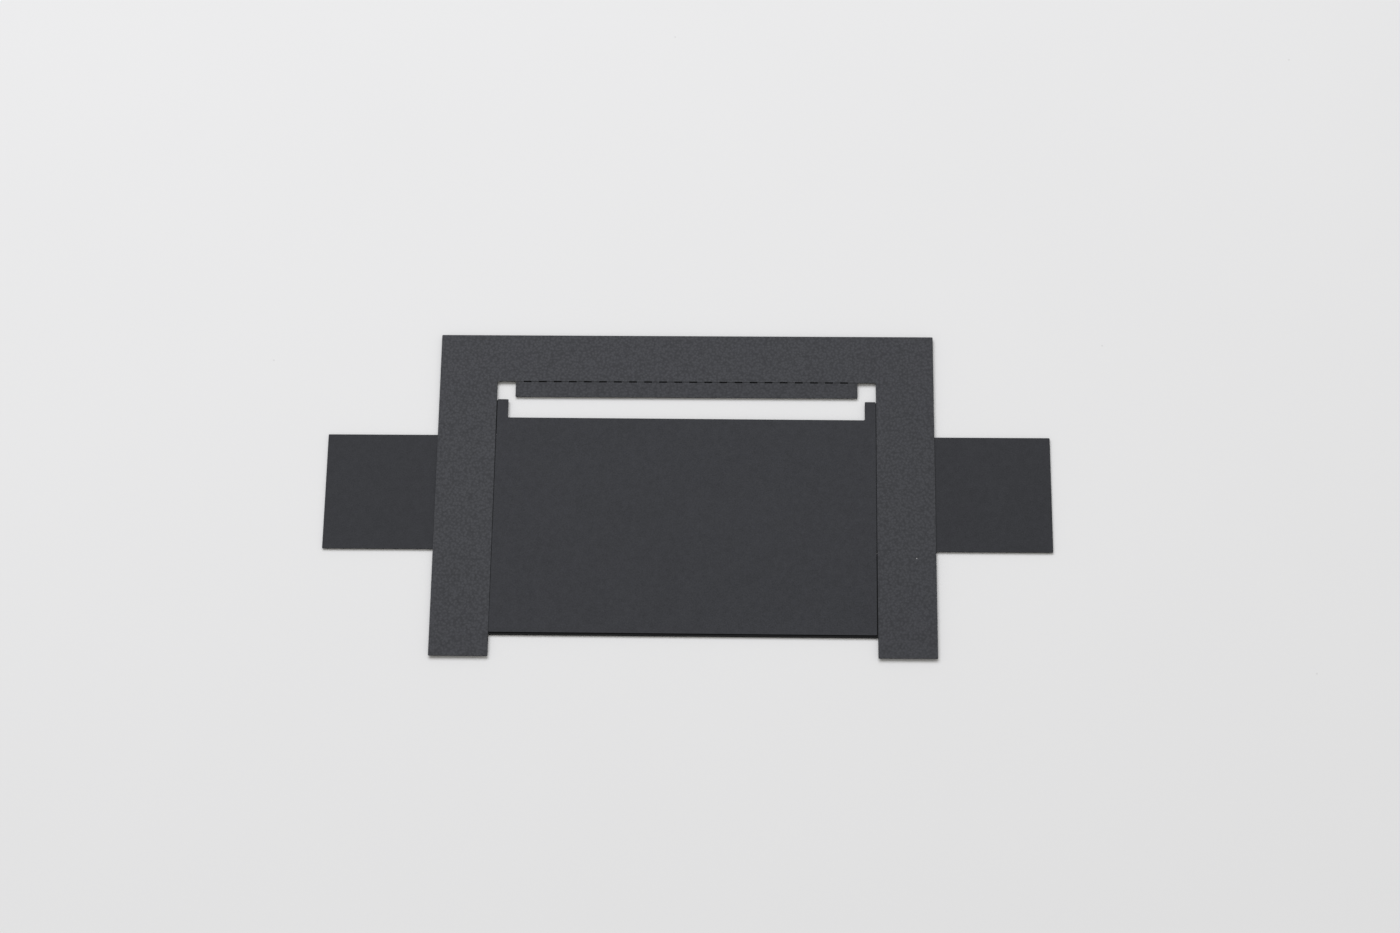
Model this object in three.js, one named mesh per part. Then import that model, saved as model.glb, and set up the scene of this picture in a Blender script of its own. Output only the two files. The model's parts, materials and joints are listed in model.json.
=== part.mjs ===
import * as THREE from 'three';

// Masking negative carrier, laminated from thin black card, for a photographic enlarger.
// A U-shaped frame lies flat on the bench. A masking slide, moved by two finger tabs, runs between the
// frame's layers and opens or closes the gate. A perforated flap along the gate folds up as a film fence.
// Millimetres. +X runs along the tabs, +Y towards the frame's bar, +Z up. The origin is at the centre
// of the object's outline, on the bench.

// ---- Driving dimensions ----

// Frame
const frameWidth = 109.5;
const legWidth = 12.75;
const barHeight = 11.17;
const notchWidth = 4.09;
const notchCornerRadius = 0.3;
const footStopHeight = 5.52;
const dieCornerRadius = 0.2;
const lowerLayerSetback = 0.4;
const lowerBarLip = 0.2;

// Fold flap and the perforated line that it bends on
const flapHeight = 3.59;
const slitPitch = 3.345;
const slitLength = 1.73;
const slitWidth = 0.3;
const slitMargin = 1.9;
const perforationShift = -0.17;

// Masking slide
const gateAtRest = 5.18;
const gateFullyOpen = 24;
const earBeyondFlap = 0.76;
const recessCornerRadius = 0.3;
const tabHeight = 26.75;
const tabReach = 24.775;
const tabOffCentre = 0.6;
const tabTopBelowRecess = 4.02;
const panelBelowTabs = 19.13;
const panelSkewDeg = -0.18;
const panelOffCentre = -0.04;
const backingLip = 0.47;
const slideOverlap = 0.6;
const earLayerSetback = 0.15;

// Card and adhesive thicknesses
const frameCard = 0.25;
const slideCard = 0.25;
const backingCard = 0.2;
const adhesive = 0.05;

// Clearances
const panelSideClearance = 0.15;
const channelClearance = 0.4;
const earNotchClearance = 1.54;
const earStopClearance = 0.3;
const tabRunningClearance = 0.05;
const tabStopClearance = 0.1;
const fillerGap = 0.5;
const adhesiveInset = 0.6;

// ---- Sizes worked out from the driving dimensions ----

const gateWidth = frameWidth - 2 * legWidth;
const flapWidth = gateWidth - 2 * notchWidth;
const slitRun = flapWidth - 2 * slitMargin - slitLength;
const slitCount = Math.floor(slitRun / slitPitch) + 1;

// The mask closes until its ears are nearly at the ends of the notches, and opens to the full gate.
const earHeight = flapHeight + earBeyondFlap;
const earWidth = notchWidth - panelSideClearance - earNotchClearance;
const closingTravel = flapHeight + gateAtRest - earHeight - earStopClearance;
const openingTravel = gateFullyOpen - gateAtRest;

// The legs are long enough for the tabs to travel between their stops.
const gateToTabs = barHeight + flapHeight + gateAtRest + tabTopBelowRecess;
const frameHeight = gateToTabs + tabHeight + openingTravel + tabStopClearance + footStopHeight;
const frameTop = frameHeight / 2;
const frameBottom = -frameHeight / 2;
const foldLine = frameTop - barHeight;
const flapTip = foldLine - flapHeight;

const recessEdge = flapTip - gateAtRest;
const earTip = recessEdge + earHeight;
const tabTop = recessEdge - tabTopBelowRecess;
const tabFoot = tabTop - tabHeight;
const panelFoot = tabFoot - panelBelowTabs;
const panelWidth = gateWidth - 2 * panelSideClearance;
const skewPivotY = (recessEdge + panelFoot) / 2;

const upperStop = tabTop + closingTravel + tabStopClearance;
const lowerStop = tabFoot - openingTravel - tabStopClearance;

// Layer levels from the bench up. The slide's middle layer is centred in the height that the spacers
// leave between the two frame sheets, and its front panel is flush with the top frame.
const spacerCard = slideCard + 2 * tabRunningClearance - 2 * adhesive;
const lowerAdhesiveLevel = frameCard;
const spacerLevel = lowerAdhesiveLevel + adhesive;
const upperAdhesiveLevel = spacerLevel + spacerCard;
const topFrameLevel = upperAdhesiveLevel + adhesive;
const tabLevel = frameCard + tabRunningClearance;
const frontAdhesiveLevel = tabLevel + slideCard;
const panelLevel = frontAdhesiveLevel + adhesive;
const panelCard = topFrameLevel + frameCard - panelLevel;
const backAdhesiveLevel = tabLevel - adhesive;
const backingLevel = backAdhesiveLevel - backingCard;

// ---- Materials ----

const grainedCard = new THREE.MeshStandardMaterial({ color: 0x484a4d, roughness: 0.72, metalness: 0 });
const smoothCard = new THREE.MeshStandardMaterial({ color: 0x3f4044, roughness: 0.6, metalness: 0 });
const coreCard = new THREE.MeshStandardMaterial({ color: 0x323335, roughness: 0.85, metalness: 0 });
const adhesiveFilm = new THREE.MeshStandardMaterial({ color: 0x8d8a80, roughness: 0.4, metalness: 0 });

// ---- Shape helpers ----

const cornerSegments = 3;

function plate(name, outline, thickness, level, material) {
  const geometry = new THREE.ExtrudeGeometry(outline, {
    depth: thickness,
    bevelEnabled: false,
    curveSegments: cornerSegments,
  });
  const mesh = new THREE.Mesh(geometry, material.clone());
  mesh.name = name;
  mesh.position.z = level;
  return mesh;
}

// Draws a closed outline through corners given as [x, y, radius], and rounds each one that has a radius.
function cardOutline(corners) {
  const outline = new THREE.Shape();
  const count = corners.length;
  const points = corners.map(([x, y]) => new THREE.Vector2(x, y));
  for (let index = 0; index < count; index += 1) {
    const corner = points[index];
    const radius = corners[index][2] ?? 0;
    const before = points[(index + count - 1) % count];
    const after = points[(index + 1) % count];
    const entry = before.clone().sub(corner).setLength(radius).add(corner);
    const exit = after.clone().sub(corner).setLength(radius).add(corner);
    if (index === 0) {
      outline.moveTo(entry.x, entry.y);
    } else {
      outline.lineTo(entry.x, entry.y);
    }
    if (radius > 0) {
      outline.quadraticCurveTo(corner.x, corner.y, exit.x, exit.y);
    }
  }
  outline.closePath();
  return outline;
}

function rectangle(left, right, bottom, top, radius = dieCornerRadius) {
  return cardOutline([
    [left, bottom, radius],
    [right, bottom, radius],
    [right, top, radius],
    [left, top, radius],
  ]);
}

// The corners of the perforated line, from left to right, with half of each slit cut towards side:
// +1 cuts up into the bar and -1 cuts down into the flap.
function perforationCorners(side) {
  const firstCentre = perforationShift - slitPitch * (slitCount - 1) / 2;
  const depth = foldLine + side * slitWidth / 2;
  const corners = [];
  for (let slit = 0; slit < slitCount; slit += 1) {
    const left = firstCentre + slitPitch * slit - slitLength / 2;
    const right = left + slitLength;
    corners.push([left, foldLine], [left, depth], [right, depth], [right, foldLine]);
  }
  return corners;
}

// ---- Frame ----

function makeTopFrame() {
  const outer = frameWidth / 2;
  const inner = gateWidth / 2;
  const outline = cardOutline([
    [inner, frameBottom],
    [outer, frameBottom, dieCornerRadius],
    [outer, frameTop, dieCornerRadius],
    [-outer, frameTop, dieCornerRadius],
    [-outer, frameBottom, dieCornerRadius],
    [-inner, frameBottom],
    [-inner, foldLine, notchCornerRadius],
    ...perforationCorners(1),
    [inner, foldLine, notchCornerRadius],
  ]);
  return plate('top_frame', outline, frameCard, topFrameLevel, grainedCard);
}

// The lower layers are cut a little smaller than the top frame outside. The bottom frame is flush with
// it along the legs' inner edges, and the spacers are set back there, which leaves a channel in which the
// slide's middle layer runs. Above the notches they are set back too. Under the flap the lower layers
// stand proud, so that it can't fold down.
const lowerOuter = frameWidth / 2 - lowerLayerSetback;
const lowerInner = gateWidth / 2;
const channelWall = lowerInner + slideOverlap + channelClearance;
const lowerTop = frameTop - lowerLayerSetback;
const lowerBottom = frameBottom + lowerLayerSetback;
const lowerNotchTop = foldLine + lowerLayerSetback;
const lipHalf = flapWidth / 2;
const lipEdge = foldLine - lowerBarLip;

function makeBottomFrame() {
  const outline = cardOutline([
    [lowerInner, lowerBottom],
    [lowerOuter, lowerBottom, dieCornerRadius],
    [lowerOuter, lowerTop, dieCornerRadius],
    [-lowerOuter, lowerTop, dieCornerRadius],
    [-lowerOuter, lowerBottom, dieCornerRadius],
    [-lowerInner, lowerBottom],
    [-lowerInner, lowerNotchTop, notchCornerRadius],
    [-lipHalf, lowerNotchTop],
    [-lipHalf, lipEdge],
    [lipHalf, lipEdge],
    [lipHalf, lowerNotchTop],
    [lowerInner, lowerNotchTop, notchCornerRadius],
  ]);
  return plate('bottom_frame', outline, frameCard, 0, grainedCard);
}

// A spacer and the two adhesive strips that hold it between the frame sheets. A spacer that isn't a
// plain rectangle brings its own outline.
function makeSpacer(name, left, right, bottom, top, ownOutline) {
  const inset = adhesiveInset;
  const spacer = ownOutline ?? rectangle(left, right, bottom, top);
  const strip = rectangle(left + inset, right - inset, bottom + inset, top - inset);
  return [
    plate(name, spacer, spacerCard, spacerLevel, coreCard),
    plate(`${name}_lower_adhesive`, strip, adhesive, lowerAdhesiveLevel, adhesiveFilm),
    plate(`${name}_upper_adhesive`, strip, adhesive, upperAdhesiveLevel, adhesiveFilm),
  ];
}

function makeBarSpacer() {
  const outline = cardOutline([
    [-channelWall, lowerNotchTop, dieCornerRadius],
    [-lipHalf, lowerNotchTop],
    [-lipHalf, lipEdge],
    [lipHalf, lipEdge],
    [lipHalf, lowerNotchTop],
    [channelWall, lowerNotchTop, dieCornerRadius],
    [channelWall, lowerTop, dieCornerRadius],
    [-channelWall, lowerTop, dieCornerRadius],
  ]);
  return makeSpacer('bar_spacer', -channelWall, channelWall, lowerNotchTop, lowerTop, outline);
}

function makeSpacers() {
  return [
    ...makeBarSpacer(),
    ...makeSpacer('left_upper_spacer', -lowerOuter, -channelWall, upperStop, lowerTop),
    ...makeSpacer('right_upper_spacer', channelWall, lowerOuter, upperStop, lowerTop),
    ...makeSpacer('left_lower_spacer', -lowerOuter, -channelWall, lowerBottom, lowerStop),
    ...makeSpacer('right_lower_spacer', channelWall, lowerOuter, lowerBottom, lowerStop),
  ];
}

// ---- Fold flap ----

function makeFoldFlap() {
  const half = flapWidth / 2;
  const outline = cardOutline([
    [half, foldLine],
    ...perforationCorners(-1).reverse(),
    [-half, foldLine],
    [-half, flapTip, dieCornerRadius],
    [half, flapTip, dieCornerRadius],
  ]);
  return plate('fold_flap', outline, frameCard, topFrameLevel, grainedCard);
}

// ---- Masking slide ----

// The panels are drawn about their own pivot, because they are bonded to the tabs with a slight skew.
function makeFrontPanel() {
  const half = panelWidth / 2;
  const recessHalf = half - earWidth;
  const foot = panelFoot - skewPivotY;
  const recess = recessEdge - skewPivotY;
  const tip = earTip - skewPivotY;
  const outline = cardOutline([
    [-half, foot, dieCornerRadius],
    [half, foot, dieCornerRadius],
    [half, tip, dieCornerRadius],
    [recessHalf, tip, dieCornerRadius],
    [recessHalf, recess, recessCornerRadius],
    [-recessHalf, recess, recessCornerRadius],
    [-recessHalf, tip, dieCornerRadius],
    [-half, tip, dieCornerRadius],
  ]);
  return plate('front_panel', outline, panelCard, panelLevel, smoothCard);
}

// The fillers are wider than the front panel and run in the frame's channel. The upper one has ears too.
const fillerHalf = lowerInner + slideOverlap;

function makeUpperFiller() {
  const recessHalf = panelWidth / 2 - earWidth + earLayerSetback;
  const foot = tabTop + fillerGap - skewPivotY;
  const recess = recessEdge - skewPivotY;
  const tip = earTip - earLayerSetback - skewPivotY;
  const outline = cardOutline([
    [-fillerHalf, foot, dieCornerRadius],
    [fillerHalf, foot, dieCornerRadius],
    [fillerHalf, tip, dieCornerRadius],
    [recessHalf, tip, dieCornerRadius],
    [recessHalf, recess, recessCornerRadius],
    [-recessHalf, recess, recessCornerRadius],
    [-recessHalf, tip, dieCornerRadius],
    [-fillerHalf, tip, dieCornerRadius],
  ]);
  return plate('upper_filler', outline, slideCard, tabLevel, coreCard);
}

function makeTabStrip() {
  const half = frameWidth / 2 + tabReach;
  const outline = rectangle(tabOffCentre - half, tabOffCentre + half, tabFoot, tabTop);
  return plate('tab_strip', outline, slideCard, tabLevel, smoothCard);
}

// A plain piece of the slide that lies square with the front panel.
function makePanelLayer(name, inset, bottom, top, thickness, level, material) {
  const half = panelWidth / 2 - inset;
  const outline = rectangle(-half, half, bottom - skewPivotY, top - skewPivotY);
  return plate(name, outline, thickness, level, material);
}

// Each stretch of the middle layer is bonded to the front panel above it and the backing panel below it.
function makeSlideAdhesives(name, bottom, top) {
  const inset = adhesiveInset;
  const ends = [bottom + inset, top - inset];
  return [
    makePanelLayer(`${name}_front_adhesive`, inset, ...ends, adhesive, frontAdhesiveLevel, adhesiveFilm),
    makePanelLayer(`${name}_back_adhesive`, inset, ...ends, adhesive, backAdhesiveLevel, adhesiveFilm),
  ];
}

function makePanels() {
  const lipFoot = panelFoot - backingLip;
  const upperFoot = tabTop + fillerGap;
  const lowerHead = tabFoot - fillerGap;
  const fillerInset = panelWidth / 2 - fillerHalf;
  const panels = new THREE.Group();
  panels.position.set(panelOffCentre, skewPivotY, 0);
  panels.rotation.z = THREE.MathUtils.degToRad(panelSkewDeg);
  panels.add(
    makeFrontPanel(),
    makeUpperFiller(),
    makePanelLayer('lower_filler', fillerInset, lipFoot, lowerHead, slideCard, tabLevel, coreCard),
    makePanelLayer('backing_panel', 0, lipFoot, recessEdge, backingCard, backingLevel, smoothCard),
    ...makeSlideAdhesives('upper_filler', upperFoot, recessEdge),
    ...makeSlideAdhesives('tab_strip', tabFoot, tabTop),
    ...makeSlideAdhesives('lower_filler', panelFoot, lowerHead),
  );
  return panels;
}

// ---- Assembly ----

const carrier = new THREE.Group();
carrier.position.x = -tabOffCentre;
carrier.add(
  makeTopFrame(),
  makeBottomFrame(),
  ...makeSpacers(),
  makeFoldFlap(),
  makeTabStrip(),
  makePanels(),
);

export default carrier;
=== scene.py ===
import json
import math

import bmesh
import bpy
from mathutils import Matrix, Vector


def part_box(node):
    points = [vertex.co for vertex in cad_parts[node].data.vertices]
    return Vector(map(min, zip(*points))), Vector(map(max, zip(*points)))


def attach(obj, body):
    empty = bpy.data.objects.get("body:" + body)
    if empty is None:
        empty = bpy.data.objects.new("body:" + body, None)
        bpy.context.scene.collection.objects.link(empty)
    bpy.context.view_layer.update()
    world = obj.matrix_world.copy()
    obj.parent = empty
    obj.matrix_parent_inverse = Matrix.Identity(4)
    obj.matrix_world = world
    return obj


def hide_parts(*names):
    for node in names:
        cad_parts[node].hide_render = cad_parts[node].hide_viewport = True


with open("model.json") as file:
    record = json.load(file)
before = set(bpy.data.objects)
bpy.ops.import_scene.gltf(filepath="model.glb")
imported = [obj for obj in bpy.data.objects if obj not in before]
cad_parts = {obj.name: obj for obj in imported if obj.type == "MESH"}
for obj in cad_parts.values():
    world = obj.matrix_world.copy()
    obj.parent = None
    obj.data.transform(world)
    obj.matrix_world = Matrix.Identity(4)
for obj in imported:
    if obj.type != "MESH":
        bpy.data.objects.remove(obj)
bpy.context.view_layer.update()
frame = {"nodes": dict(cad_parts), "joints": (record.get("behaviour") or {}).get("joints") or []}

bl_info = {
    "name": "Masking Negative Carrier",
    "version": (1, 0, 0),
    "blender": (4, 5, 0),
    "location": "3D View > Sidebar > Carrier",
    "description": "Cuts and finishes the card sheets of a masking negative carrier, and sets its stage",
    "category": "Object",
}

MM = 0.001
FOLD_LINE = next(j for j in frame["joints"] if j["name"] == "flap_fold")["pos_m"][1] / MM

# Cutting allowances in millimetres. A window that opens to a sheet's edge is cut past it by OVERCUT.
OVERCUT = 1
CUT_TOLERANCE = 1e-4
CORNER_REACH = 0.01
LINE_REACH = 0.001

# A face whose normal's Z is above this lies flat, and the others stand on the cut edge.
FLAT_NORMAL = 0.9

# The table and the camera. The table's top lies just below the carrier, so that no two faces coincide.
TABLE_SIZE = 6
TABLE_LEVEL = -0.02 * MM
CAMERA_SENSOR_MM = 36
CAMERA_CLIP = (0.01, 20)

# Each spacer lies between the frame's sheets. Its name is the CAD node's, and the piece's is "<name>_card".
SPACERS = (
    "bar_spacer",
    "left_upper_spacer",
    "right_upper_spacer",
    "left_lower_spacer",
    "right_lower_spacer",
)
FILLERS = ("upper_filler", "lower_filler")


# ---- Sizes, colours and stage settings that a user would change ----


def millimetres(name, description, default):
    return bpy.props.FloatProperty(name=name, description=f"{description}, in millimetres", default=default)


def angle(name, description, degrees):
    return bpy.props.FloatProperty(
        name=name, description=description, default=math.radians(degrees), subtype="ANGLE"
    )


def tint(name, description, default, brightest=1):
    return bpy.props.FloatVectorProperty(
        name=name, description=description, default=default, min=0, max=brightest, size=3, subtype="COLOR"
    )


class CarrierSizes(bpy.types.PropertyGroup):
    """The sizes that the card is cut, perforated and rolled to."""

    leg_width: millimetres("Leg width", "Width of each of the frame's two legs", 12.75)
    layer_setback: millimetres("Layer setback", "How far the lower layers lie back above the notches", 0.4)
    corner_radius: millimetres("Die corner", "Radius of a die-cut outer corner", 0.2)
    notch_radius: millimetres("Notch corner", "Radius of the corners of the notches and of the recess", 0.3)
    edge_roll: millimetres("Rolled edge", "How far the cut rounds the card's upper and lower edges", 0.035)
    rim_width: millimetres("Worn rim", "Width of the band along each edge that handling has worn", 0.09)
    slit_pitch: millimetres("Slit pitch", "From one perforation slit to the next", 3.345)
    slit_length: millimetres("Slit length", "Length of a perforation slit", 1.73)
    slit_width: millimetres("Slit width", "Width of a perforation slit", 0.3)
    slit_end_radius: millimetres("Slit end", "Radius of the corners at the slits' ends", 0.05)
    slit_shift: millimetres("Slit shift", "How far the perforation sits off the frame's middle", -0.17)
    slit_count: bpy.props.IntProperty(
        name="Slits", description="Number of perforation slits", default=22, min=1
    )
    ear_width: millimetres("Ear width", "Width of the panel's two ears", 2.4)
    ear_setback: millimetres("Ear setback", "How far the filler's ears lie inside the panel's", 0.15)
    flap_droop: angle("Flap droop", "How far the perforated flap hangs below the bar", 3.5)
    panel_skew: angle("Panel skew", "Turn of the bonded panels against the frame", -0.18)


class CarrierFinishes(bpy.types.PropertyGroup):
    """The colours of the card, the adhesive and the table."""

    # The grained card's dark end holds painted shade for the grain's valleys, and its light end holds painted
    # sheen and wear for the crests.
    grained_dark_and_valley_shade: tint("Grained card, dark", "Valleys of the grained card", (0.0120, 0.0124, 0.0142))
    grained_light_and_crest_sheen: tint("Grained card, light", "Crests of the grained card", (0.0410, 0.0420, 0.0475))
    grained_worn: tint("Grained card, worn", "Polished rim of the grained card", (0.075, 0.076, 0.080))
    smooth_dark: tint("Smooth card, dark", "Darkest fibres of the smooth card", (0.0200, 0.0204, 0.0226))
    smooth_light: tint("Smooth card, light", "Lightest fibres of the smooth card", (0.0455, 0.0465, 0.0515))
    smooth_worn: tint("Smooth card, worn", "Polished rim of the smooth card", (0.060, 0.061, 0.064))
    edge_dark: tint("Grained edge, dark", "Darkest layers of its cut edge", (0.012, 0.012, 0.0126))
    edge_light: tint("Grained edge, light", "Lightest torn fibres of its cut edge", (0.034, 0.034, 0.0355))
    # The core card is darker than the visible card: partly its own black pulp, partly painted shade for the
    # gaps beside the panel.
    core_dark_and_gap_shade: tint("Card core, dark", "Darkest fibres of the core card", (0.003, 0.003, 0.0032))
    core_light_and_gap_shade: tint("Card core, light", "Lightest fibres of the core card", (0.012, 0.012, 0.0125))
    film: tint("Adhesive film", "Colour of the adhesive film", (0.28, 0.26, 0.22))
    dust: tint("Dust", "Colour of the dust specks", (0.42, 0.41, 0.40))
    table: tint("Table", "Colour of the table top", (0.795, 0.785, 0.765))
    table_speck: tint("Table specks", "Colour of the specks on the table top", (0.45, 0.43, 0.41))


class CarrierStage(bpy.types.PropertyGroup):
    """The camera and the soft studio light."""

    focal_length: bpy.props.FloatProperty(
        name="Focal length", description="Lens focal length in millimetres", default=80, min=20, max=300
    )
    azimuth: angle("Azimuth", "Camera's turn round the carrier", -2.635)
    elevation: angle("Elevation", "Camera's height above the horizon", 68.645)
    roll: angle("Roll", "Camera's turn about its own axis", -2.133)
    distance: millimetres("Distance", "From the camera to the point that it looks at", 684.22)
    target_x: millimetres("Target X", "Point that the camera looks at, along the tabs", 2.609)
    target_y: millimetres("Target Y", "Point that the camera looks at, towards the bar", 6.665)
    softbox_power: bpy.props.FloatProperty(
        name="Softbox", description="Power of the overhead softbox", default=19.3, unit="POWER"
    )
    room_light: bpy.props.FloatProperty(
        name="Room light", description="Strength of the light from all sides", default=0.457
    )
    softbox_size: bpy.props.FloatVectorProperty(
        name="Softbox size",
        description="Width and depth of the softbox",
        default=(1.6, 1.0),
        size=2,
        unit="LENGTH",
    )
    softbox_place: bpy.props.FloatVectorProperty(
        name="Softbox place",
        description="Where the softbox hangs",
        default=(-0.26, 0.80, 1.35),
        unit="LENGTH",
    )
    softbox_tint: tint("Softbox colour", "Colour of the softbox", (0.97, 0.99, 1.06), brightest=2)
    room_tint: tint("Room colour", "Colour of the light from all sides", (1.0, 1.0, 0.985))


# ---- Working the card in edit mode ----


def clear_selection():
    if bpy.context.mode != "OBJECT":
        bpy.ops.object.mode_set(mode="OBJECT")
    bpy.ops.object.select_all(action="DESELECT")


def box_mm(node):
    """Lowest and highest corner of a CAD node, in millimetres. Sheets are cut in millimetres."""
    low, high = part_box(node)
    return low / MM, high / MM


def start_sheet(name, left, right, foot, head, level):
    """Lays out a blank sheet at its place, in millimetres, and leaves it in edit mode."""
    clear_selection()
    bpy.ops.mesh.primitive_plane_add(size=1, location=((left + right) / 2, (foot + head) / 2, level))
    sheet = bpy.context.object
    sheet.name = name
    sheet.data.name = name
    sheet.scale = (right - left, head - foot, 1)
    bpy.ops.object.transform_apply(location=True, rotation=True, scale=True)
    bpy.ops.object.mode_set(mode="EDIT")
    return sheet


def pick(sheet, kind, test):
    """Selects the sheet's vertices, edges or faces that pass the test, and nothing else."""
    kinds = ("VERT", "EDGE", "FACE")
    bpy.context.tool_settings.mesh_select_mode = tuple(k == kind for k in kinds)
    mesh = bmesh.from_edit_mesh(sheet.data)
    for group in (mesh.verts, mesh.edges, mesh.faces):
        for part in group:
            part.select = False
    found = [part for part in (mesh.verts, mesh.edges, mesh.faces)[kinds.index(kind)] if test(part)]
    for part in found:
        part.select_set(True)
    bmesh.update_edit_mesh(sheet.data)
    return len(found)


def slice_sheet(sheet, point, direction):
    """Cuts all of the sheet along a straight line."""
    bpy.ops.mesh.select_all(action="SELECT")
    bpy.ops.mesh.bisect(plane_co=point, plane_no=direction, use_fill=False, threshold=CUT_TOLERANCE)


def cut_window(sheet, left, right, foot, head):
    """Cuts a rectangle out of the flat sheet. A side that lies outside the sheet leaves the window open."""
    for x in (left, right):
        slice_sheet(sheet, (x, 0, 0), (1, 0, 0))
    for y in (foot, head):
        slice_sheet(sheet, (0, y, 0), (0, 1, 0))

    def inside(face):
        centre = face.calc_center_median()
        return left < centre.x < right and foot < centre.y < head

    if not pick(sheet, "FACE", inside):
        raise RuntimeError(f"{sheet.name}: there is no card in the window")
    bpy.ops.mesh.delete(type="FACE")


def clean_outline(sheet):
    """Joins the pieces that the cuts left into one flat face."""
    bpy.ops.mesh.select_all(action="SELECT")
    bpy.ops.mesh.dissolve_limited(angle_limit=math.radians(0.5))


def round_corners(sheet, radius, corners, segments=5):
    """Rounds the corners that lie at the given points."""

    def near(vertex):
        return any((vertex.co.xy - Vector(corner)).length < CORNER_REACH for corner in corners)

    if pick(sheet, "VERT", near) != len(corners):
        raise RuntimeError(f"{sheet.name}: some corner to round is missing")
    bpy.ops.mesh.bevel(offset=radius, segments=segments, profile=0.5, affect="VERTICES")


def thicken(sheet, thickness):
    """Gives the outline its thickness, upwards."""
    bpy.ops.mesh.select_all(action="SELECT")
    bpy.ops.mesh.extrude_region_move(TRANSFORM_OT_translate={"value": (0, 0, thickness)})
    bpy.ops.mesh.select_all(action="SELECT")
    bpy.ops.mesh.normals_make_consistent(inside=False)


def lies_flat(face):
    return abs(face.normal.z) > FLAT_NORMAL


def mark_rim(sheet, width):
    """Sets in a band along every edge of the upper and lower face, and marks it in the attribute rim."""
    pick(sheet, "FACE", lies_flat)
    bpy.ops.mesh.inset(thickness=width, use_even_offset=True, use_individual=True)
    mesh = bmesh.from_edit_mesh(sheet.data)
    rim = mesh.verts.layers.float.new("rim")
    for vertex in mesh.verts:
        vertex[rim] = 0 if vertex.select else 1
    bmesh.update_edit_mesh(sheet.data)


def roll_edges(sheet, radius, sharp):
    """Rounds the upper and lower edges as a cutting die does, except for those that stay sharp."""

    def is_rim(edge):
        faces = edge.link_faces
        return len(faces) == 2 and lies_flat(faces[0]) != lies_flat(faces[1]) and not sharp(edge)

    pick(sheet, "EDGE", is_rim)
    bpy.ops.mesh.bevel(offset=radius, segments=3, profile=0.5, affect="EDGES", clamp_overlap=True)


def make_card(sheet, sizes, thickness, sharp=lambda edge: False):
    """Gives the outline its thickness, its worn rim and its rolled edges."""
    thicken(sheet, thickness)
    mark_rim(sheet, sizes.rim_width)
    roll_edges(sheet, sizes.edge_roll, sharp)


def turn_sheet(sheet, turn, axis, centre):
    """Turns all of the sheet about a point. The operator's own sense is the other way round."""
    bpy.ops.mesh.select_all(action="SELECT")
    bpy.ops.transform.rotate(value=-turn, orient_axis=axis, orient_type="GLOBAL", center_override=centre)


def finish_sheet(sheet, body, slot, finish, *nodes):
    """Smooths the rolled edges, brings the sheet to metres, checks it, and puts it in its nodes' place."""
    pick(sheet, "FACE", lambda face: len(face.verts) > 4)
    bpy.ops.mesh.quads_convert_to_tris(quad_method="BEAUTY", ngon_method="BEAUTY")
    bpy.ops.object.mode_set(mode="OBJECT")
    bpy.ops.object.shade_smooth()
    evened = sheet.modifiers.new("Even faces", "WEIGHTED_NORMAL")
    evened.mode = "FACE_AREA"
    evened.weight = 100
    bpy.ops.object.modifier_apply(modifier=evened.name)
    sheet.scale = (MM, MM, MM)
    bpy.ops.object.transform_apply(location=True, rotation=True, scale=True)
    mesh = bmesh.new()
    mesh.from_mesh(sheet.data)
    closed = all(len(edge.link_faces) == 2 for edge in mesh.edges)
    volume = mesh.calc_volume(signed=True)
    mesh.free()
    if not closed or volume <= 0:
        raise RuntimeError(f"{sheet.name}: the sheet isn't a closed solid that faces outwards")
    sheet.data.materials.clear()
    sheet.data.materials.append(finish)
    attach(sheet, body)
    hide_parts(*nodes)
    sheet.select_set(False)
    return sheet


def rectangle_corners(left, right, foot, head):
    return [(x, y) for x in (left, right) for y in (foot, head)]


def gate_sides(sizes):
    """The inner edges of the two legs."""
    low, high = box_mm("top_frame")
    return low.x + sizes.leg_width, high.x - sizes.leg_width


def cut_stepped_gate(sheet, sizes, left, right, foot):
    """Opens the gate in a lower layer, which ends in a lip under the flap and lies further back above the
    notches. Returns the level where it ends there."""
    flap_low, flap_high = box_mm("fold_flap")
    lip = box_mm("bar_spacer")[0].y
    shoulder = FOLD_LINE + sizes.layer_setback
    spans = ((left, flap_low.x, shoulder), (flap_low.x, flap_high.x, lip), (flap_high.x, right, shoulder))
    for start, end, head in spans:
        if head > foot:
            cut_window(sheet, start, end, foot - OVERCUT, head)
    return shoulder


def slit_spans(sizes):
    """The two ends of every perforation slit, from left to right."""
    low, high = box_mm("top_frame")
    middle = (low.x + high.x) / 2 + sizes.slit_shift
    first = middle - sizes.slit_pitch * (sizes.slit_count - 1) / 2
    for index in range(sizes.slit_count):
        centre = first + sizes.slit_pitch * index
        yield centre - sizes.slit_length / 2, centre + sizes.slit_length / 2


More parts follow.
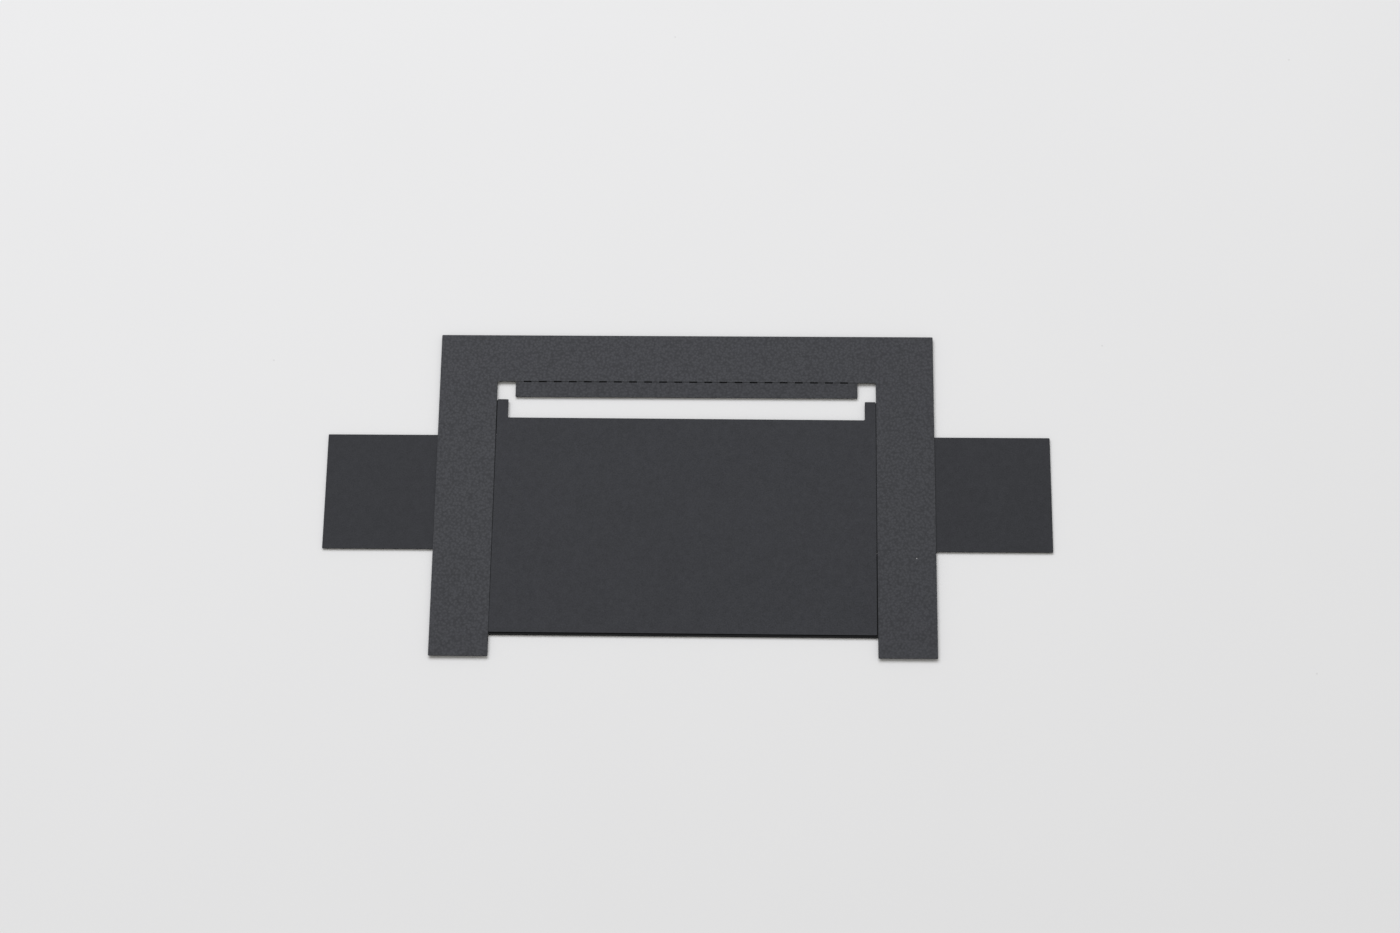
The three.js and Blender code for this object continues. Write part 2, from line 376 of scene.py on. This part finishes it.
def cut_half_slits(sheet, sizes, side):
    """Cuts half of every slit out of the sheet's edge along the fold line, and returns the corners that the
    slits leave. The side is 1 for the bar and -1 for the flap."""
    edge = FOLD_LINE + side * sizes.slit_width / 2
    spans = list(slit_spans(sizes))
    slice_sheet(sheet, (0, edge, 0), (0, 1, 0))
    for span in spans:
        for x in span:
            slice_sheet(sheet, (x, 0, 0), (1, 0, 0))

    def in_slit(face):
        centre = face.calc_center_median()
        across = side * (centre.y - FOLD_LINE)
        return 0 < across < sizes.slit_width / 2 and any(a < centre.x < b for a, b in spans)

    pick(sheet, "FACE", in_slit)
    bpy.ops.mesh.delete(type="FACE")
    return [(x, edge) for span in spans for x in span]


def on_fold_line(edge):
    return all(abs(vertex.co.y - FOLD_LINE) < LINE_REACH for vertex in edge.verts)


def skewed_rectangle(node, skew):
    """Centre, width and height of a rectangle that was turned by skew, from its CAD box."""
    low, high = box_mm(node)
    across, along = high.x - low.x, high.y - low.y
    c, s = math.cos(skew), abs(math.sin(skew))
    width = (across * c - along * s) / (c * c - s * s)
    height = (along * c - across * s) / (c * c - s * s)
    return (low + high) / 2, width, height


def skewed_sides(node, skew):
    """Centre, left, right, foot and head of a rectangle that was turned by skew, as they were before."""
    centre, width, height = skewed_rectangle(node, skew)
    return centre, centre.x - width / 2, centre.x + width / 2, centre.y - height / 2, centre.y + height / 2


def recess_span(sizes, middle, setback=0):
    """The two ends and the level of the recess between the ears, before the sheet is turned about middle."""
    _, width, _ = skewed_rectangle("front_panel", sizes.panel_skew)
    back_centre, _, back_height = skewed_rectangle("backing_panel", sizes.panel_skew)
    reach = width / 2 - sizes.ear_width + setback
    return (middle.x - reach, middle.x + reach), back_centre.y + back_height / 2


# ---- Shader nodes ----


class Value:
    """A number that changes over the surface. Python's operators add the Math nodes."""

    def __init__(self, finish, socket):
        self.finish = finish
        self.socket = socket

    def _math(self, operation, *terms, clamp=False):
        inputs = dict(enumerate(terms))
        return self.finish.node("ShaderNodeMath", {"operation": operation, "use_clamp": clamp}, inputs)

    def __add__(self, other):
        return self._math("ADD", self, other)

    def __radd__(self, other):
        return self._math("ADD", other, self)

    def __sub__(self, other):
        return self._math("SUBTRACT", self, other)

    def __rsub__(self, other):
        return self._math("SUBTRACT", other, self)

    def __mul__(self, other):
        return self._math("MULTIPLY", self, other)

    def __rmul__(self, other):
        return self._math("MULTIPLY", other, self)

    def __pow__(self, other):
        return self._math("POWER", self, other)

    def __abs__(self):
        return self._math("ABSOLUTE", self)

    def clamped(self):
        return self._math("ADD", self, 0.0, clamp=True)

    def ramp(self, low, high):
        """0 below low, 1 above high, and smooth between."""
        return self.finish.node(
            "ShaderNodeMapRange",
            {"interpolation_type": "SMOOTHSTEP"},
            {"Value": self, "From Min": low, "From Max": high},
        )


class Finish:
    """A node material. Every node but the output, which ends it, comes from the method node."""

    def __init__(self, name):
        self.material = bpy.data.materials.new(name)
        self.material.use_nodes = True
        self.tree = self.material.node_tree
        self.tree.nodes.clear()

    def node(self, kind, settings=None, inputs=None, output=0):
        """Adds a node, sets its settings first and then its sockets, and returns one of its outputs."""
        node = self.tree.nodes.new(kind)
        for key, value in (settings or {}).items():
            setattr(node, key, value)
        for key, value in (inputs or {}).items():
            if isinstance(value, Value):
                self.tree.links.new(value.socket, node.inputs[key])
            else:
                node.inputs[key].default_value = value
        return Value(self, node.outputs[output])

    def place(self, scale=(1, 1, 1), turn=0):
        """The piece's own coordinates in metres, scaled and turned about Z."""
        coordinates = self.node("ShaderNodeTexCoord", output="Object")
        return self.node(
            "ShaderNodeMapping",
            {"vector_type": "TEXTURE"},
            {"Vector": coordinates, "Rotation": (0, 0, turn), "Scale": scale},
        )

    def noise(self, size, detail=2, roughness=0.5, place=None):
        """Cloudy noise whose lumps are about size across."""
        return self.node(
            "ShaderNodeTexNoise",
            {"noise_dimensions": "3D"},
            {"Vector": place or self.place(), "Scale": 1 / size, "Detail": detail, "Roughness": roughness},
        )

    def pebbles(self, size, smoothness=0.7):
        """Rounded bumps about size across: 1 at a crest and 0 in a valley."""
        distance = self.node(
            "ShaderNodeTexVoronoi",
            {"feature": "SMOOTH_F1", "voronoi_dimensions": "3D"},
            {"Vector": self.place(), "Scale": 1 / size, "Smoothness": smoothness},
            "Distance",
        )
        return 1 - distance.ramp(0.12, 0.78)

    def fibres(self, length, width, turn):
        """Fibres of the given length and width that lie at about one angle."""
        return self.noise(1, detail=1, place=self.place((length, width, width), turn))

    def specks(self, spacing, radius, share):
        """Round specks of dust: share is the part of the places spacing apart that has one."""
        place = {"Vector": self.place(), "Scale": 1 / spacing}
        settings = {"voronoi_dimensions": "2D"}
        distance = self.node("ShaderNodeTexVoronoi", settings, place, "Distance")
        chance = self.node("ShaderNodeTexVoronoi", settings, place, "Color")
        chosen = self.node("ShaderNodeSeparateColor", None, {0: chance}, 0).ramp(1 - share, 1 - share + 0.01)
        return (1 - (distance * (spacing / radius)).ramp(0.6, 1.0)) * chosen

    def facing(self):
        """1 on a sheet's upper and lower face, and 0 on its cut edge."""
        normal = self.node("ShaderNodeTexCoord", output="Normal")
        upright = self.node("ShaderNodeSeparateXYZ", None, {0: normal}, 2)
        return abs(upright).ramp(0.35, 0.9)

    def rim(self):
        """The band along a sheet's edge: 1 at the edge and 0 where the band ends."""
        return self.node("ShaderNodeAttribute", {"attribute_name": "rim"}, output="Fac")

    def blend(self, share, first, second):
        """Mixes two colours, each a tuple or a Value."""
        first, second = (c if isinstance(c, Value) else (*c, 1) for c in (first, second))
        return self.node("ShaderNodeMix", {"data_type": "RGBA"}, {0: share, 6: first, 7: second}, 2)

    def bump(self, height, depth, strength=1.0, below=None):
        inputs = {"Height": height, "Distance": depth, "Strength": strength}
        if below:
            inputs["Normal"] = below
        return self.node("ShaderNodeBump", None, inputs)

    def surface(self, colour, roughness, normal, **constants):
        """Ends the material in a Principled shader."""
        inputs = {"Base Color": colour, "Roughness": roughness, "Normal": normal}
        inputs.update({key.replace("_", " "): value for key, value in constants.items()})
        shader = self.node("ShaderNodeBsdfPrincipled", None, inputs)
        ending = self.tree.nodes.new("ShaderNodeOutputMaterial")
        self.tree.links.new(shader.socket, ending.inputs["Surface"])
        return self.material


def shaded(colour, share):
    """The colour, with its brightness times share."""
    return tuple(channel * share for channel in colour)


def finish_named(name, make):
    return bpy.data.materials.get(name) or make(name, bpy.context.scene.carrier_finishes)


# ---- Finishes of the card, the adhesive and the table ----


def cut_edge(finish, dark, light):
    """Colour of the card's cut edge: pressed layers with torn fibres."""
    layers = finish.noise(1, detail=2, place=finish.place((1.2 * MM, 1.2 * MM, 0.035 * MM)))
    torn = finish.noise(0.12 * MM, detail=2)
    return finish.blend((layers * 0.7 + torn * 0.5 - 0.1).clamped(), dark, light)


def grained_card(name, colours):
    """Black card with a fine pebbled grain, rougher in the valleys and smoother on the crests. Its colour is
    darker in the valleys, which is painted shade, and lighter on the crests, which is partly wear and partly
    painted sheen.
    """
    finish = Finish(name)
    pebbles = finish.pebbles(0.52 * MM)
    fine = finish.noise(0.21 * MM, detail=2, roughness=0.6)
    grain = pebbles * 0.6 + fine * 0.4
    cloud = finish.noise(9 * MM, detail=3)
    patch = finish.noise(2.2 * MM, detail=2)
    long_fibres = finish.fibres(1.6 * MM, 0.07 * MM, 0.5).ramp(0.60, 0.74)
    short_fibres = finish.fibres(1.3 * MM, 0.06 * MM, 2.1).ramp(0.61, 0.75)
    fibres = long_fibres + short_fibres
    facing = finish.facing()
    wear = finish.rim() ** 2 * fine.ramp(0.35, 0.75) * facing
    dust = finish.specks(17 * MM, 0.14 * MM, 0.10) * facing

    # The grain's share of the tone is painted shade in the valleys and painted sheen with wear on the crests;
    # the cloud, patch and fibre shares are the card's own tone.
    tone = (0.5 + (grain - 0.5) * 0.65 + (cloud - 0.5) * 0.35 + (patch - 0.5) * 0.3 + fibres * 0.12).clamped()
    colour = finish.blend(tone, colours.grained_dark_and_valley_shade, colours.grained_light_and_crest_sheen)
    colour = finish.blend(wear * 0.35, colour, colours.grained_worn)
    torn_edge = cut_edge(finish, colours.edge_dark, colours.edge_light)
    colour = finish.blend(1 - facing, colour, torn_edge)
    colour = finish.blend(dust, colour, colours.dust)

    roughness = 0.55 - (grain - 0.5) * 0.14 + (cloud - 0.5) * 0.10 + (1 - facing) * 0.25
    low = finish.bump(cloud, 0.03 * MM, 0.6)
    bump = finish.bump(grain + fibres * 0.15, 0.016 * MM, 0.8, low)
    return finish.surface(colour, roughness.clamped(), bump, Specular_IOR_Level=0.30)


def smooth_card(name, colours, shade=1.0):
    """Calendered black card: smooth, with faint fibres and a soft sheen."""
    finish = Finish(name)
    dark = shaded(colours.smooth_dark, shade)
    light = shaded(colours.smooth_light, shade)
    cloud = finish.noise(12 * MM, detail=3)
    fine = finish.noise(0.25 * MM, detail=3, roughness=0.6)
    patch = finish.noise(1.4 * MM, detail=2)
    long_fibres = finish.fibres(1.9 * MM, 0.06 * MM, 0.3).ramp(0.60, 0.76)
    short_fibres = finish.fibres(1.5 * MM, 0.05 * MM, 1.9).ramp(0.61, 0.77)
    fibres = long_fibres + short_fibres
    facing = finish.facing()
    wear = finish.rim() ** 2 * fine.ramp(0.38, 0.72) * facing
    dust = finish.specks(23 * MM, 0.14 * MM, 0.10) * facing

    tone = (0.5 + (fine - 0.5) * 1.7 + (cloud - 0.5) * 0.35 + (patch - 0.5) * 0.45 + fibres * 0.16).clamped()
    colour = finish.blend(tone, dark, light)
    colour = finish.blend(wear * 0.30, colour, colours.smooth_worn)
    # The cut edge takes the core colours, which are partly painted gap shade.
    colour = finish.blend(1 - facing, colour, cut_edge(finish, colours.core_dark_and_gap_shade, colours.core_light_and_gap_shade))
    colour = finish.blend(dust, colour, colours.dust)

    roughness = 0.55 + (fine - 0.5) * 0.16 + (cloud - 0.5) * 0.10 + (1 - facing) * 0.30
    bump = finish.bump(fine * 0.7 + patch * 0.3 + fibres * 0.2, 0.006 * MM, 0.6)
    return finish.surface(colour, roughness.clamped(), bump, Specular_IOR_Level=0.13)


def tab_card(name, colours):
    """The smooth card of the tab strip, a little darker than the panel's."""
    return smooth_card(name, colours, shade=0.88)


def core_card(name, colours):
    """Uncoated black pulp card of the hidden layers, with open fibres. Its colours are darker than the
    visible card's, as painted shade where it shows deep in the gaps beside the panel.
    """
    finish = Finish(name)
    pulp = finish.noise(0.35 * MM, detail=4, roughness=0.65)
    cloud = finish.noise(5 * MM, detail=2)
    long_fibres = finish.fibres(1.2 * MM, 0.05 * MM, 1.1).ramp(0.58, 0.72)
    short_fibres = finish.fibres(1.0 * MM, 0.05 * MM, 2.6).ramp(0.58, 0.72)
    fibres = long_fibres + short_fibres
    facing = finish.facing()
    tone = (0.45 + (pulp - 0.5) * 0.8 + (cloud - 0.5) * 0.3 + fibres * 0.2).clamped()
    colour = finish.blend(tone, colours.core_dark_and_gap_shade, colours.core_light_and_gap_shade)
    colour = finish.blend(1 - facing, colour, cut_edge(finish, colours.core_dark_and_gap_shade, colours.core_light_and_gap_shade))
    roughness = 0.86 + (pulp - 0.5) * 0.15
    bump = finish.bump(pulp + fibres * 0.3, 0.02 * MM, 0.8)
    return finish.surface(colour, roughness.clamped(), bump, Specular_IOR_Level=0.3)


def adhesive_film(name, colours):
    """Pressed adhesive film: cloudy, slightly yellow, with small trapped bubbles."""
    finish = Finish(name)
    cloud = finish.noise(3 * MM, detail=3)
    bubbles = finish.pebbles(0.5 * MM, smoothness=0.3)
    tone = (0.3 + (cloud - 0.5) * 0.6 + bubbles * 0.4).clamped()
    colour = finish.blend(tone, shaded(colours.film, 0.6), colours.film)
    roughness = 0.34 + (cloud - 0.5) * 0.3
    bump = finish.bump(bubbles, 0.008 * MM, 0.6)
    return finish.surface(colour, roughness.clamped(), bump, Specular_IOR_Level=0.5)


def table_top(name, colours):
    """Matte white board with a barely visible tooth."""
    finish = Finish(name)
    cloud = finish.noise(60 * MM, detail=3)
    tooth = finish.noise(0.5 * MM, detail=3, roughness=0.6)
    specks = finish.specks(46 * MM, 0.28 * MM, 0.16)
    tone = (0.5 + (cloud - 0.5) * 0.5 + (tooth - 0.5) * 0.4).clamped()
    colour = finish.blend(tone, shaded(colours.table, 0.98), shaded(colours.table, 1.02))
    colour = finish.blend(specks * 0.25, colour, colours.table_speck)
    bump = finish.bump(tooth, 0.01 * MM, 0.5)
    return finish.surface(colour, 0.62 + (tooth - 0.5) * 0.1, bump, Specular_IOR_Level=0.3)


# ---- Operators: one for each piece or group of like pieces, and one for the stage ----


class CARRIER_OT_top_sheet(bpy.types.Operator):
    """Cuts the U-shaped top sheet, with the upper half of each perforation slit"""

    bl_idname = "carrier.top_sheet"
    bl_label = "Top sheet"

    def execute(self, context):
        sizes = context.scene.carrier_sizes
        low, high = box_mm("top_frame")
        left, right = gate_sides(sizes)
        sheet = start_sheet("grained_top_sheet", low.x, high.x, low.y, high.y, low.z)
        cut_window(sheet, left, right, low.y - OVERCUT, FOLD_LINE)
        slit_corners = cut_half_slits(sheet, sizes, 1)
        clean_outline(sheet)
        outer = rectangle_corners(low.x, high.x, low.y, high.y)
        round_corners(sheet, sizes.corner_radius, outer)
        round_corners(sheet, sizes.notch_radius, [(left, FOLD_LINE), (right, FOLD_LINE)])
        round_corners(sheet, sizes.slit_end_radius, slit_corners, segments=3)
        flap_low, flap_high = box_mm("fold_flap")

        def meets_flap(edge):
            return on_fold_line(edge) and flap_low.x < edge.verts[0].co.x < flap_high.x

        make_card(sheet, sizes, high.z - low.z, meets_flap)
        finish = finish_named("grained_card_finish", grained_card)
        finish_sheet(sheet, "frame", "grained_card", finish, "top_frame")
        return {"FINISHED"}


class CARRIER_OT_bottom_sheet(bpy.types.Operator):
    """Cuts the U-shaped bottom sheet, a little smaller than the top sheet"""

    bl_idname = "carrier.bottom_sheet"
    bl_label = "Bottom sheet"

    def execute(self, context):
        sizes = context.scene.carrier_sizes
        low, high = box_mm("bottom_frame")
        left, right = gate_sides(sizes)
        sheet = start_sheet("grained_bottom_sheet", low.x, high.x, low.y, high.y, low.z)
        shoulder = cut_stepped_gate(sheet, sizes, left, right, low.y)
        clean_outline(sheet)
        outer = rectangle_corners(low.x, high.x, low.y, high.y)
        round_corners(sheet, sizes.corner_radius, outer)
        round_corners(sheet, sizes.notch_radius, [(left, shoulder), (right, shoulder)])
        make_card(sheet, sizes, high.z - low.z)
        finish = finish_named("grained_card_finish", grained_card)
        finish_sheet(sheet, "frame", "grained_card", finish, "bottom_frame")
        return {"FINISHED"}


class CARRIER_OT_spacers(bpy.types.Operator):
    """Cuts the five spacers that keep the frame's sheets apart"""

    bl_idname = "carrier.spacers"
    bl_label = "Spacers"

    def execute(self, context):
        sizes = context.scene.carrier_sizes
        finish = finish_named("core_card_finish", core_card)
        for node in SPACERS:
            low, high = box_mm(node)
            sheet = start_sheet(f"{node}_card", low.x, high.x, low.y, high.y, low.z)
            foot = low.y
            if node == "bar_spacer":
                foot = cut_stepped_gate(sheet, sizes, low.x - OVERCUT, high.x + OVERCUT, low.y)
                clean_outline(sheet)
            outer = rectangle_corners(low.x, high.x, foot, high.y)
            round_corners(sheet, sizes.corner_radius, outer)
            make_card(sheet, sizes, high.z - low.z)
            finish_sheet(sheet, "frame", "core_card", finish, node)
        return {"FINISHED"}


class CARRIER_OT_fold_flap(bpy.types.Operator):
    """Cuts the fold flap, with the lower half of each perforation slit"""

    bl_idname = "carrier.fold_flap"
    bl_label = "Fold flap"

    def execute(self, context):
        sizes = context.scene.carrier_sizes
        low, high = box_mm("fold_flap")
        sheet = start_sheet("grained_fold_flap", low.x, high.x, low.y, high.y, low.z)
        slit_corners = cut_half_slits(sheet, sizes, -1)
        clean_outline(sheet)
        round_corners(sheet, sizes.corner_radius, [(low.x, low.y), (high.x, low.y)])
        round_corners(sheet, sizes.slit_end_radius, slit_corners, segments=3)
        make_card(sheet, sizes, high.z - low.z, on_fold_line)
        turn_sheet(sheet, sizes.flap_droop, "X", (0, FOLD_LINE, low.z))
        finish = finish_named("grained_card_finish", grained_card)
        finish_sheet(sheet, "flap", "grained_card", finish, "fold_flap")
        return {"FINISHED"}


class CARRIER_OT_front_panel(bpy.types.Operator):
    """Cuts the smooth front panel, with an ear at each upper corner"""

    bl_idname = "carrier.front_panel"
    bl_label = "Front panel"

    def execute(self, context):
        sizes = context.scene.carrier_sizes
        low, high = box_mm("front_panel")
        centre, left, right, foot, head = skewed_sides("front_panel", sizes.panel_skew)
        ends, recess = recess_span(sizes, centre)
        sheet = start_sheet("smooth_front_panel", left, right, foot, head, low.z)
        cut_window(sheet, *ends, recess, head + OVERCUT)
        clean_outline(sheet)
        outer = rectangle_corners(left, right, foot, head)
        outer += [(x, head) for x in ends]
        round_corners(sheet, sizes.corner_radius, outer)
        round_corners(sheet, sizes.notch_radius, [(x, recess) for x in ends])
        make_card(sheet, sizes, high.z - low.z)
        turn_sheet(sheet, sizes.panel_skew, "Z", centre)
        finish = finish_named("smooth_card_finish", smooth_card)
        finish_sheet(sheet, "mask", "smooth_card", finish, "front_panel")
        return {"FINISHED"}


class CARRIER_OT_tab_strip(bpy.types.Operator):
    """Cuts the strip whose two ends are the finger tabs"""

    bl_idname = "carrier.tab_strip"
    bl_label = "Tab strip"

    def execute(self, context):
        sizes = context.scene.carrier_sizes
        low, high = box_mm("tab_strip")
        sheet = start_sheet("smooth_tab_strip", low.x, high.x, low.y, high.y, low.z)
        outer = rectangle_corners(low.x, high.x, low.y, high.y)
        round_corners(sheet, sizes.corner_radius, outer)
        make_card(sheet, sizes, high.z - low.z)
        finish = finish_named("tab_card_finish", tab_card)
        finish_sheet(sheet, "mask", "smooth_card", finish, "tab_strip")
        return {"FINISHED"}


class CARRIER_OT_panel_layers(bpy.types.Operator):
    """Cuts the backing panel and the two fillers that lie square with the front panel"""

    bl_idname = "carrier.panel_layers"
    bl_label = "Panel layers"

    def execute(self, context):
        sizes = context.scene.carrier_sizes
        smooth = finish_named("smooth_card_finish", smooth_card)
        core = finish_named("core_card_finish", core_card)
        layers = [("backing_panel", "smooth_card", smooth)]
        layers += [(node, "core_card", core) for node in FILLERS]
        for node, slot, finish in layers:
            low, high = box_mm(node)
            centre, left, right, foot, head = skewed_sides(node, sizes.panel_skew)
            sheet = start_sheet(f"{node}_card", left, right, foot, head, low.z)
            outer = rectangle_corners(left, right, foot, head)
            if node == "upper_filler":
                ends, recess = recess_span(sizes, centre, sizes.ear_setback)
                cut_window(sheet, *ends, recess, head + OVERCUT)
                clean_outline(sheet)
                outer += [(x, head) for x in ends]
                round_corners(sheet, sizes.notch_radius, [(x, recess) for x in ends])
            round_corners(sheet, sizes.corner_radius, outer)
            make_card(sheet, sizes, high.z - low.z)
            turn_sheet(sheet, sizes.panel_skew, "Z", centre)
            finish_sheet(sheet, "mask", slot, finish, node)
        return {"FINISHED"}


class CARRIER_OT_adhesive(bpy.types.Operator):
    """Gives the adhesive strips between the layers their finish"""

    bl_idname = "carrier.adhesive"
    bl_label = "Adhesive"

    def execute(self, context):
        finish = finish_named("adhesive_film_finish", adhesive_film)
        strips = [node for name, node in frame["nodes"].items() if name.endswith("_adhesive")]
        if not strips:
            raise RuntimeError("the frame has no adhesive strips")
        for strip in strips:
            strip.data.materials.clear()
            strip.data.materials.append(finish)
        return {"FINISHED"}


class CARRIER_OT_stage(bpy.types.Operator):
    """Sets the table, the softbox, the light from the room and the camera"""

    bl_idname = "carrier.stage"
    bl_label = "Stage"

    def execute(self, context):
        stage = context.scene.carrier_stage
        self.lay_table()
        self.hang_softbox(context.scene, stage)
        self.light_room(context.scene, stage)
        self.place_camera(context.scene, stage)
        context.scene.view_settings.view_transform = "Standard"
        return {"FINISHED"}

    def lay_table(self):
        clear_selection()
        bpy.ops.mesh.primitive_plane_add(size=TABLE_SIZE, location=(0, 0, TABLE_LEVEL))
        table = bpy.context.object
        table.name = "table_top"
        bpy.ops.object.transform_apply(location=True)
        table.data.materials.append(finish_named("table_top_finish", table_top))
        table.select_set(False)

    def hang_softbox(self, scene, stage):
        light = bpy.data.lights.new("softbox", "AREA")
        light.shape = "RECTANGLE"
        light.size, light.size_y = stage.softbox_size
        light.energy = stage.softbox_power
        light.color = stage.softbox_tint
        softbox = bpy.data.objects.new("softbox", light)
        scene.collection.objects.link(softbox)
        softbox.location = stage.softbox_place
        softbox.rotation_euler = (Vector((0, 0, 0)) - softbox.location).to_track_quat("-Z", "Y").to_euler()

    def light_room(self, scene, stage):
        room = bpy.data.worlds.new("room")
        room.use_nodes = True
        background = room.node_tree.nodes["Background"]
        background.inputs["Color"].default_value = (*stage.room_tint, 1)
        background.inputs["Strength"].default_value = stage.room_light
        scene.world = room

    def place_camera(self, scene, stage):
        a, e, r = stage.azimuth, stage.elevation, stage.roll
        view = Vector((math.sin(a) * math.cos(e), math.cos(a) * math.cos(e), -math.sin(e)))
        level = Vector((math.cos(a), -math.sin(a), 0))
        above = level.cross(view)
        right = level * math.cos(r) + above * math.sin(r)
        up = above * math.cos(r) - level * math.sin(r)
        target = Vector((stage.target_x, stage.target_y, 0)) * MM
        lens = bpy.data.cameras.new("camera")
        lens.lens = stage.focal_length
        lens.sensor_width = CAMERA_SENSOR_MM
        lens.clip_start, lens.clip_end = CAMERA_CLIP
        camera = bpy.data.objects.new("camera", lens)
        scene.collection.objects.link(camera)
        turn = Matrix((right, up, -view)).transposed().to_4x4()
        camera.matrix_world = Matrix.Translation(target - view * stage.distance * MM) @ turn
        scene.camera = camera


class CARRIER_PT_sidebar(bpy.types.Panel):
    """Lists the pieces in the order that they are made, and the settings"""

    bl_idname = "CARRIER_PT_sidebar"
    bl_label = "Masking Negative Carrier"
    bl_space_type = "VIEW_3D"
    bl_region_type = "UI"
    bl_category = "Carrier"

    def draw(self, context):
        for operator in OPERATORS:
            self.layout.operator(operator.bl_idname)
        for name in GROUPS:
            group = getattr(context.scene, name)
            box = self.layout.box()
            for setting in group.__annotations__:
                box.prop(group, setting)


OPERATORS = (
    CARRIER_OT_bottom_sheet,
    CARRIER_OT_spacers,
    CARRIER_OT_top_sheet,
    CARRIER_OT_fold_flap,
    CARRIER_OT_panel_layers,
    CARRIER_OT_tab_strip,
    CARRIER_OT_front_panel,
    CARRIER_OT_adhesive,
    CARRIER_OT_stage,
)
GROUPS = {
    "carrier_sizes": CarrierSizes,
    "carrier_finishes": CarrierFinishes,
    "carrier_stage": CarrierStage,
}


def register():
    for cls in (*GROUPS.values(), *OPERATORS, CARRIER_PT_sidebar):
        bpy.utils.register_class(cls)
    for name, group in GROUPS.items():
        setattr(bpy.types.Scene, name, bpy.props.PointerProperty(type=group))


def unregister():
    for name in GROUPS:
        delattr(bpy.types.Scene, name)
    for cls in reversed((*GROUPS.values(), *OPERATORS, CARRIER_PT_sidebar)):
        bpy.utils.unregister_class(cls)


def main():
    register()
    for operator in OPERATORS:
        group, name = operator.bl_idname.split(".")
        getattr(getattr(bpy.ops, group), name)()


if __name__ == "__main__":
    main()
